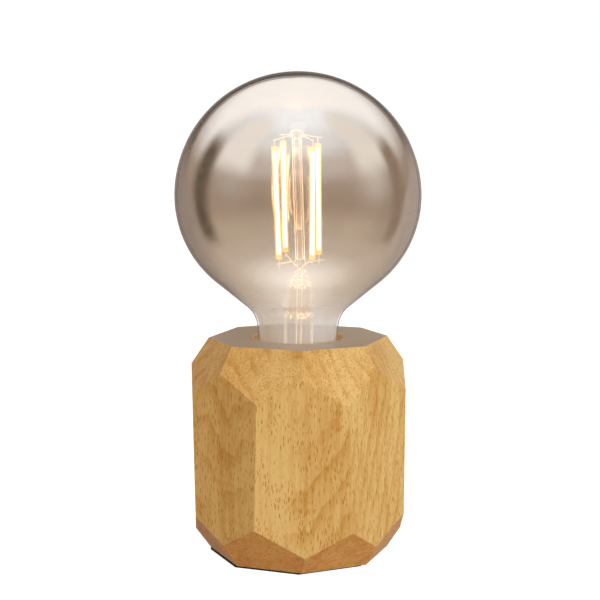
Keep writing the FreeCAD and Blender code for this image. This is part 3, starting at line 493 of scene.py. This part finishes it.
def globeOutline():
    # Half outline of the outside from the crown down, in millimetres
    g = globe
    low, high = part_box("bulb_globe")
    top = high.z / mm
    middle = (0.0, top - g["radius"])
    cone = math.radians(g["coneAngle"])
    taper = math.radians(g["neckTaper"])
    points = arcPoints(middle, g["radius"], 90, 0, 48)
    lowMiddle = (g["radius"] - g["lowerRadius"], middle[1])
    points += arcPoints(lowMiddle, g["lowerRadius"], 0, -g["coneAngle"], 28)[1:]
    coneX, coneZ = points[-1]
    flareBow = g["flareRadius"] * (math.cos(taper) - math.cos(cone))
    run = (coneX - g["neckRadius"] - flareBow) / math.sin(cone)
    coneX -= run * math.sin(cone)
    coneZ -= run * math.cos(cone)
    flareMiddle = (coneX + g["flareRadius"] * math.cos(cone), coneZ - g["flareRadius"] * math.sin(cone))
    points += arcPoints(flareMiddle, g["flareRadius"], 180 - g["coneAngle"], 180 - g["neckTaper"], 20)
    neckX, neckZ = points[-1]
    neckX -= g["neckLength"] * math.sin(taper)
    neckZ -= g["neckLength"] * math.cos(taper)
    shoulder = (neckX - g["shoulderRadius"] * math.cos(taper), neckZ + g["shoulderRadius"] * math.sin(taper))
    points += arcPoints(shoulder, g["shoulderRadius"], -g["neckTaper"], -g["shoulderAngle"], 10)
    slope = math.tan(math.radians(g["shoulderAngle"]))
    throatZ = points[-1][1] - (points[-1][0] - g["throatRadius"]) / slope
    points.append((g["throatRadius"], throatZ))
    points.append((g["throatRadius"], low.z / mm))
    return [(r * mm, z * mm) for r, z in points]


def globeCoat():
    material, tree = newMaterial("smokeMirrorCoat")
    place = addNode(tree, "SeparateXYZ", {0: millimetres(tree)})
    drift = noiseValue(tree, millimetres(tree, scale=(1, 1, 0.4)), 0.05, 3.0)
    height = maths(tree, "MULTIPLY_ADD", drift, 8.0, maths(tree, "SUBTRACT", place.outputs[2], 4.0))
    coat = softStep(tree, height, globe["coatLow"], globe["coatFull"])
    facing = addNode(tree, "LayerWeight", {"Blend": 0.5}).outputs["Facing"]
    grazing = maths(tree, "POWER", facing, 3.0)
    smoke = mixColour(tree, grazing, globe["smoke"], globe["deepSmoke"])
    tint = mixColour(tree, coat, globe["clear"], smoke)
    share = softStep(tree, coat, 0.0, 1.0, globe["clearMirror"], globe["mirror"])
    through = addNode(tree, "BsdfTransparent", {"Color": tint})
    mirror = addNode(tree, "BsdfAnisotropic", {"Color": globe["mirrorTint"], "Roughness": 0.03})
    both = addNode(tree, "MixShader", {0: share, 1: through.outputs[0], 2: mirror.outputs[0]})
    haze = softStep(tree, height, globe["hazeTop"], globe["hazeFull"], 0.0, globe["haze"])
    film = addNode(tree, "BsdfDiffuse", {"Color": globe["hazeColour"]})
    # Painted light: a faint warm emission on the film stands in for the filaments' light on it
    paintedWarmGlow = addNode(tree, "Emission", {"Color": globe["hazePaintedGlow"], "Strength": globe["hazePaintedGlowLevel"]})
    pale = addNode(tree, "AddShader", {0: film.outputs[0], 1: paintedWarmGlow.outputs[0]})
    hazy = addNode(tree, "MixShader", {0: haze, 1: both.outputs[0], 2: pale.outputs[0]})
    finishMaterial(tree, hazy.outputs[0])
    return material


def clearSkin():
    material, tree = newMaterial("clearGlassSkin")
    place = addNode(tree, "SeparateXYZ", {0: millimetres(tree)})
    inNeck = softStep(tree, place.outputs[2], globe["hazeTop"], globe["hazeFull"])
    ripples = noiseValue(tree, millimetres(tree, scale=(0.2, 0.2, 1.6)), 1.0, 2.0)
    wave = bumped(tree, maths(tree, "MULTIPLY", ripples, inNeck), 0.3, 0.1 * mm)
    facing = addNode(tree, "LayerWeight", {"Blend": 0.5}).outputs["Facing"]
    share = maths(tree, "MULTIPLY_ADD", maths(tree, "POWER", facing, 5.0), 0.6, 0.03)
    tint = mixColour(tree, softStep(tree, facing, *globe["rimBand"]), globe["skin"], globe["rim"])
    through = addNode(tree, "BsdfTransparent", {"Color": tint})
    shine = addNode(tree, "BsdfAnisotropic", {"Color": (1, 1, 1, 1), "Roughness": 0.02, "Normal": wave})
    both = addNode(tree, "MixShader", {0: share, 1: through.outputs[0], 2: shine.outputs[0]})
    finishMaterial(tree, both.outputs[0])
    return material


def makeGlobe():
    shape = spun(globeOutline(), globe["steps"])
    piece = addPiece("smokeGlobe", shape, "bulb", "bulb_globe", [clearSkin(), globeCoat()])
    wall = piece.modifiers.new("wall", "SOLIDIFY")
    wall.thickness = globe["wall"] * mm
    wall.offset = -1
    wall.use_even_offset = True
    wall.material_offset = 1


# Glass stem with its pinch, the exhaust post on it and the bead on top; in mm

stem = {
    "foot": 9.9,
    "footHeight": 1.5,
    "flareHeight": 8.0,
    "base": 7.4,
    "baseHeight": 30.0,
    "stepHeight": 3.0,
    "tube": 6.2,
    "tubeHeight": 13.0,
    "pinchHeight": 7.5,
    "neck": 2.6,
    "neckHeight": 6.3,
    "wall": 0.8,
    "lean": 1.1,                    # degrees
    "collarRing": 0.55,             # mm that the step bulges
    "collarLump": 0.035,
    "pinchWiden": 0.22,
    "pinchFlatten": 0.30,
    "pinchLump": 0.14,
    "postRadius": 2.4,
    "postBore": 1.35,
    "beadSize": 0.90,
    "beadLump": 0.16,
    "tint": (0.97, 0.95, 0.92, 1),
    # painted light on the glass: the glow's colour, then the painted glints
    "paintedWarmGlow": (1.0, 0.78, 0.56, 1),
    "paintedGlint": (1.0, 0.64, 0.36, 1),
    "paintedGlintLevel": 2.6,
    "paintedGlintCells": 0.8,              # to the mm
    "paintedGlintChance": (0.58, 0.72),
    "rimShare": 0.70,
    "shineShare": 0.25,
    "stemPaintedGlow": (0.04, 0.8, 1.5),   # painted glow: cover in the middle; brightness there and at the edge
    "postPaintedGlow": (0.07, 2.3, 7.0),
    "beadPaintedGlow": (0.10, 2.0, 4.0),
}


def paintedGlints(tree, low, high):
    # Painted glints: small bright emitting spots in the glass between two heights
    place = millimetres(tree)
    height = addNode(tree, "SeparateXYZ", {0: place}).outputs[2]
    inside = maths(tree, "MULTIPLY", softStep(tree, height, low - 0.5, low + 0.5),
                   softStep(tree, height, high + 0.5, high - 0.5))
    cells = addNode(tree, "TexVoronoi", {"Vector": place, "Scale": stem["paintedGlintCells"], "Randomness": 1.0})
    chance = addNode(tree, "SeparateColor", {0: cells.outputs["Color"]}).outputs[0]
    spot = softStep(tree, cells.outputs["Distance"], 0.60, 0.30)
    spot = maths(tree, "MULTIPLY", spot, softStep(tree, chance, *stem["paintedGlintChance"]))
    return maths(tree, "MULTIPLY", inside, spot)


def paintedLightGlass(name, share, middle, edge, bands=()):
    # Clear glass with painted light: emission stands in for the filaments' light, nearly clear in its
    # middle, a painted highlight along its edges
    material, tree = newMaterial(name)
    lumps = noiseValue(tree, millimetres(tree), 0.9, 2.0)
    uneven = bumped(tree, lumps, 0.3, 0.15 * mm)
    facing = addNode(tree, "LayerWeight", {"Blend": 0.5, "Normal": uneven}).outputs["Facing"]
    # Painted highlight: the glow and its cover rise along the edges
    rim = softStep(tree, facing, 0.42, 0.85)
    level = maths(tree, "MULTIPLY_ADD", rim, edge - middle, middle)
    covered = maths(tree, "MULTIPLY_ADD", rim, stem["rimShare"], share)
    through = addNode(tree, "BsdfTransparent", {"Color": stem["tint"]})
    shine = addNode(tree, "BsdfAnisotropic", {"Color": (1, 1, 1, 1), "Roughness": 0.05, "Normal": uneven})
    paintedGlow = addNode(tree, "Emission", {"Color": stem["paintedWarmGlow"], "Strength": level})
    lit = addNode(tree, "MixShader", {0: stem["shineShare"], 1: paintedGlow.outputs[0], 2: shine.outputs[0]})
    shown = addNode(tree, "MixShader", {0: covered, 1: through.outputs[0], 2: lit.outputs[0]})
    # Painted glints in the given height bands
    for low, high in bands:
        paintedGlint = addNode(tree, "Emission", {"Color": stem["paintedGlint"], "Strength": stem["paintedGlintLevel"]})
        shown = addNode(tree, "MixShader", {0: paintedGlints(tree, low, high), 1: shown.outputs[0],
                                            2: paintedGlint.outputs[0]})
    finishMaterial(tree, shown.outputs[0])
    return material


def makeStem():
    s = stem
    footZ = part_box("bulb_stem")[0].z / mm
    z0 = footZ + s["flareHeight"]
    z1 = footZ + s["baseHeight"]
    z2 = z1 + s["stepHeight"]
    z3 = z2 + s["tubeHeight"]
    z4 = z3 + s["pinchHeight"]
    z5 = z4 + s["neckHeight"]
    outside = [(s["foot"], footZ), (s["foot"], footZ + s["footHeight"])]
    for i in range(1, 9):
        t = i / 8
        outside.append((s["foot"] + (s["base"] - s["foot"]) * math.sin(t * math.pi / 2) ** 0.8,
                        footZ + s["footHeight"] + (z0 - footZ - s["footHeight"]) * t))
    outside += [(s["base"], z0 + (z1 - z0) * i / 8) for i in range(1, 9)]
    for i in range(1, 7):
        t = i / 6
        ring = s["collarRing"] * math.sin(t * math.pi)
        outside.append((s["base"] + (s["tube"] - s["base"]) * t + ring, z1 + (z2 - z1) * t))
    outside += [(s["tube"], z2 + (z3 - z2) * i / 8) for i in range(1, 9)]
    for i in range(1, 13):
        t = i / 12
        ease = (1 - math.cos(t * math.pi)) / 2
        outside.append((s["tube"] + (s["neck"] - s["tube"]) * ease, z3 + (z4 - z3) * t))
    outside += [(s["neck"], z4 + (z5 - z4) * i / 8) for i in range(1, 8)]
    outside += [(s["neck"] * 0.8, z5), (0, z5)]
    inside = [(0, z3 + 2.0), (s["tube"] - 2.2, z3 + 0.6), (s["tube"] - s["wall"], z3 - 2.0),
              (s["tube"] - s["wall"], z2), (s["base"] - s["wall"], z1), (s["base"] - s["wall"], z0 + 2),
              (s["foot"] - s["wall"], footZ + s["footHeight"]), (s["foot"] - s["wall"], footZ)]
    outline = [(r * mm, z * mm) for r, z in outside + inside + outside[:1]]
    shape = spun(outline, 64)
    turn = Matrix.Rotation(math.radians(s["lean"]), 4, "Y")
    pivot = Vector((0, 0, footZ * mm))
    for vert in shape.verts:
        z = vert.co.z / mm
        press = min(max((z - z3) / (z4 - z3), 0), 1)
        reach = vert.co.xy.length
        if reach > 1e-6 and z > z3 - 3:
            lump = noise.noise(Vector((vert.co.x, vert.co.y, vert.co.z)) * 520)
            vert.co.x *= 1 + s["pinchWiden"] * press + s["pinchLump"] * lump * press
            vert.co.y *= 1 - s["pinchFlatten"] * press + s["pinchLump"] * lump * press
        if z1 - 1 < z < z2 + 1 and reach > (s["tube"] - 0.5) * mm:
            lump = noise.noise(Vector((vert.co.x * 600, vert.co.y * 600, vert.co.z * 900)))
            vert.co.x *= 1 + s["collarLump"] * lump
            vert.co.y *= 1 + s["collarLump"] * lump
        vert.co = turn @ (vert.co - pivot) + pivot
    glass = paintedLightGlass("stemGlass", *s["stemPaintedGlow"], [(z1, z2), (z3 - 1, z5)])
    addPiece("glassStem", shape, "bulb", "bulb_stem", [glass])


def makePost():
    low, high = rodEnds("exhaust_post")
    length = (high - low).length
    outer = stem["postRadius"] * mm
    bore = stem["postBore"] * mm
    outline = [(bore, 0), (outer, 0), (outer, length * 0.25), (outer, length * 0.5),
               (outer, length * 0.75), (outer, length), (bore, length), (bore, length * 0.75),
               (bore, length * 0.5), (bore, length * 0.25), (bore, 0)]
    shape = spun(outline, 48)
    turn = (high - low).to_track_quat("Z", "Y").to_matrix().to_4x4()
    bmesh.ops.transform(shape, matrix=Matrix.Translation(low) @ turn, verts=shape.verts)
    glass = paintedLightGlass("postGlass", *stem["postPaintedGlow"])
    addPiece("glassPost", shape, "bulb", "exhaust_post", [glass])


def makeBead():
    low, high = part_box("stem_bead")
    middle = (low + high) / 2
    half = (high - low) / 2
    shape = bmesh.new()
    bmesh.ops.create_icosphere(shape, subdivisions=5, radius=1)
    for vert in shape.verts:
        lump = noise.noise(vert.co * 2.6) + 0.5 * noise.noise(vert.co * 6.0)
        reach = stem["beadSize"] + stem["beadLump"] * lump
        spot = vert.co.copy()
        spot.z = math.copysign(abs(spot.z) ** 0.8, spot.z)
        vert.co = Vector((spot.x * half.x, spot.y * half.y, spot.z * half.z)) * reach + middle
    glass = paintedLightGlass("beadGlass", *stem["beadPaintedGlow"])
    addPiece("glassBead", shape, "bulb", "stem_bead", [glass])


# Lit filaments, in mm

filament = {
    "count": 4,
    "coreRadius": 1.02,
    "coatRadius": 1.70,
    "coreInset": 0.25,          # mm that the core is shorter at each end
    "endRound": 0.6,
    "darkEnd": 3.0,             # mm at each end without light
    "coreLevel": 12.0,
    "coreColour": (1.0, 0.86, 0.60, 1),
    "coatLevel": 4.2,
    "coatColour": (1.0, 0.47, 0.11, 1),
    "endLevel": 3.2,
    "endColour": (1.0, 0.56, 0.10, 1),
    "wirePaintedGlow": 1.0,           # painted glow standing in for the filaments' light on the wires
    "wirePaintedGlowColour": (1.0, 0.74, 0.48, 1),
}


def glowFinish(name, colour, level, clear):
    # Lit along the middle, golden and unlit at both ends
    material, tree = newMaterial(name)
    along = addNode(tree, "Attribute", attribute_name="fromEnd").outputs["Fac"]
    grain = noiseValue(tree, millimetres(tree), 1.5, 2.0)
    along = maths(tree, "MULTIPLY_ADD", grain, 0.8, maths(tree, "SUBTRACT", along, 0.4))
    lit = softStep(tree, along, filament["darkEnd"] - 0.9, filament["darkEnd"] + 0.5)
    bright = addNode(tree, "Emission", {"Color": colour, "Strength": level})
    golden = addNode(tree, "Emission", {"Color": filament["endColour"], "Strength": filament["endLevel"]})
    glow = addNode(tree, "MixShader", {0: lit, 1: golden.outputs[0], 2: bright.outputs[0]})
    if clear:
        through = addNode(tree, "BsdfTransparent", {"Color": (1, 0.97, 0.9, 1)})
        edge = addNode(tree, "LayerWeight", {"Blend": 0.5}).outputs["Facing"]
        share = maths(tree, "MULTIPLY", softStep(tree, edge, 0.10, 0.45, 0.20, 0.85),
                      softStep(tree, edge, 1.0, 0.55))
        glow = addNode(tree, "MixShader", {0: share, 1: through.outputs[0], 2: glow.outputs[0]})
    finishMaterial(tree, glow.outputs[0])
    return material


def makeFilament(number, materials):
    node = "led_filament_%d" % number
    low, high = rodEnds(node)
    length = (high - low).length
    shape = bmesh.new()
    for radius, slot in ((filament["coreRadius"] * mm, 0), (filament["coatRadius"] * mm, 1)):
        inset = filament["coreInset"] * mm if slot == 0 else 0
        bend = min(filament["endRound"] * mm, radius)
        outline = [(0, inset)]
        outline += arcPoints((radius - bend, inset + bend), bend, -90, 0, 5)
        outline += [(radius, inset + bend + (length - 2 * inset - 2 * bend) * i / 40)
                    for i in range(1, 41)]
        outline += arcPoints((radius - bend, length - inset - bend), bend, 0, 90, 5)[1:]
        outline.append((0, length - inset))
        part = spun(outline, 24)
        for face in part.faces:
            face.material_index = slot
        mesh = bpy.data.meshes.new("part")
        part.to_mesh(mesh)
        part.free()
        shape.from_mesh(mesh)
        bpy.data.meshes.remove(mesh)
    fromEnd = [min(v.co.z, length - v.co.z) / mm for v in shape.verts]
    turn = (high - low).to_track_quat("Z", "Y").to_matrix().to_4x4()
    bmesh.ops.transform(shape, matrix=Matrix.Translation(low) @ turn, verts=shape.verts)
    piece = addPiece("filament%d" % number, shape, "bulb", node, materials)
    layer = piece.data.attributes.new("fromEnd", "FLOAT", "POINT")
    layer.data.foreach_set("value", fromEnd)


# Finishes of the parts that stay as the CAD made them

def moulded(name, colour, rough, grain=6.0, depth=0.02):
    material, tree = newMaterial(name)
    place = millimetres(tree)
    fine = noiseValue(tree, place, grain, 2.0)
    cloud = noiseValue(tree, place, 0.25, 2.0)
    lighter = tuple(min(1, c * 1.25 + 0.01) for c in colour)
    shade = mixColour(tree, cloud, (*colour, 1), (*lighter, 1))
    roughness = maths(tree, "MULTIPLY_ADD", fine, 0.2, rough - 0.1)
    skin = addNode(tree, "BsdfPrincipled", {"Base Color": shade, "Roughness": roughness,
                                            "Normal": bumped(tree, fine, 0.5, depth * mm)})
    finishMaterial(tree, skin.outputs[0])
    return material


def metallic(name, colour, rough, stretch=(1, 1, 1), scratch=4.0, lit=0.0):
    material, tree = newMaterial(name)
    brushed = noiseValue(tree, millimetres(tree, scale=stretch), scratch, 3.0)
    cloud = noiseValue(tree, millimetres(tree), 0.3, 2.0)
    darker = tuple(c * 0.72 for c in colour)
    shade = mixColour(tree, maths(tree, "MULTIPLY", brushed, cloud), (*colour, 1), (*darker, 1))
    roughness = maths(tree, "MULTIPLY_ADD", brushed, 0.25, rough - 0.1)
    skin = addNode(tree, "BsdfPrincipled", {"Base Color": shade, "Metallic": 1.0, "Roughness": roughness,
                                            "Emission Color": filament["wirePaintedGlowColour"],
                                            "Emission Strength": lit,
                                            "Normal": bumped(tree, brushed, 0.15, 0.02 * mm)})
    finishMaterial(tree, skin.outputs[0])
    return material


def rubber():
    material, tree = newMaterial("footRubber")
    place = millimetres(tree)
    cells = addNode(tree, "TexVoronoi", {"Vector": place, "Scale": 1.6}).outputs["Distance"]
    fine = noiseValue(tree, place, 3.0, 3.0)
    shade = mixColour(tree, fine, (0.008, 0.008, 0.009, 1), (0.022, 0.021, 0.02, 1))
    skin = addNode(tree, "BsdfPrincipled", {"Base Color": shade, "Roughness": 0.85,
                                            "Specular IOR Level": 0.3,
                                            "Normal": bumped(tree, cells, 0.5, 0.1 * mm)})
    finishMaterial(tree, skin.outputs[0])
    return material


def dressCadNodes():
    finishes = {
        "foot_rubber": rubber(),
        "plate_steel": metallic("plateSteel", (0.55, 0.55, 0.56), 0.38, stretch=(0.1, 2, 2)),
        "zinc_steel": metallic("zincSteel", (0.66, 0.66, 0.62), 0.3),
        "bush_plastic": moulded("bushPlastic", (0.02, 0.02, 0.021), 0.5),
        "holder_plastic": moulded("holderPlastic", (0.016, 0.015, 0.014), 0.3, grain=2.0),
        "carrier_plastic": moulded("carrierGlaze", (0.72, 0.70, 0.64), 0.25, grain=1.2),
        "contact_brass": metallic("contactBrass", (0.72, 0.50, 0.20), 0.28),
        "spring_steel": metallic("springSteel", (0.62, 0.62, 0.62), 0.25),
        "block_plastic": moulded("blockPlastic", (0.62, 0.61, 0.57), 0.45),
        "live_jacket": moulded("liveJacket", (0.14, 0.055, 0.02), 0.38),
        "neutral_jacket": moulded("neutralJacket", (0.02, 0.07, 0.30), 0.38),
        # Painted light: the wires glow faintly, standing in for the filaments' light on them
        "wire_metal": metallic("wireMetal", (0.80, 0.66, 0.46), 0.25, lit=filament["wirePaintedGlow"]),
        "cap_metal": metallic("capMetal", (0.66, 0.65, 0.62), 0.22, stretch=(1, 1, 0.2)),
        "cap_glass": moulded("capGlass", (0.012, 0.012, 0.014), 0.15, grain=1.0),
        "tip_metal": metallic("tipMetal", (0.68, 0.64, 0.56), 0.3),
        "board": moulded("boardLacquer", (0.05, 0.16, 0.06), 0.35, grain=3.0),
        "board_parts": moulded("partSleeve", (0.03, 0.03, 0.035), 0.3),
        "board_wire": metallic("boardWire", (0.70, 0.60, 0.38), 0.3),
    }
    for row in frame["record"]["subparts"]:
        finish = finishes.get(row["material_slot"])
        if finish is None:
            continue
        mesh = frame["nodes"][row["node"]].data
        mesh.materials.clear()
        mesh.materials.append(finish)


def hideFromMirrors():
    # The globe's coat then reflects the studio alone
    for name in frame["nodes"]:
        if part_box(name)[1].z < mirrored["hiddenBelow"]:
            frame["nodes"][name].visible_glossy = False


makeWoodBlock()
print("wood block made")
makeGlobe()
makeStem()
makePost()
makeBead()
print("glass made")
glow = [glowFinish("filamentCore", filament["coreColour"], filament["coreLevel"], False),
        glowFinish("filamentCoat", filament["coatColour"], filament["coatLevel"], True)]
for number in range(1, filament["count"] + 1):
    makeFilament(number, glow)
print("filaments made")
dressCadNodes()
hideFromMirrors()
print("other parts dressed")
